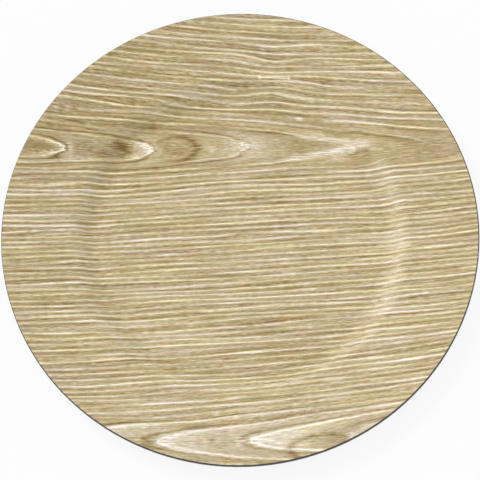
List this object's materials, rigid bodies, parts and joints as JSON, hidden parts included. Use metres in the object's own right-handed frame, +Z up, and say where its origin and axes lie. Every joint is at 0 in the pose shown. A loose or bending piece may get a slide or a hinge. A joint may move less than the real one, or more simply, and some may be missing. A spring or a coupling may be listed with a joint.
{
  "type": "charger plate",
  "caption": "Round plastic charger plate: a wide rim that rises gently to a thin dark edge, a shallow flat well for a dinner plate, and a wood-grain film over the face.",
  "frame": {"origin": "centre of the foot ring, on the surface that the plate stands on", "axes": "+Z up along the plate's axis, +X along the grain of the film"},
  "size_m": [0.33, 0.33, 0.0166],
  "materials": {
    "moulded_plastic": "near-black injection-moulded plastic, satin, slightly textured underneath",
    "wood_film": "printed and finely embossed wood-grain film, satin"
  },
  "bodies": {
    "root": {"plate_body": "moulded_plastic", "wood_film": "wood_film"}
  },
  "joints": []
}
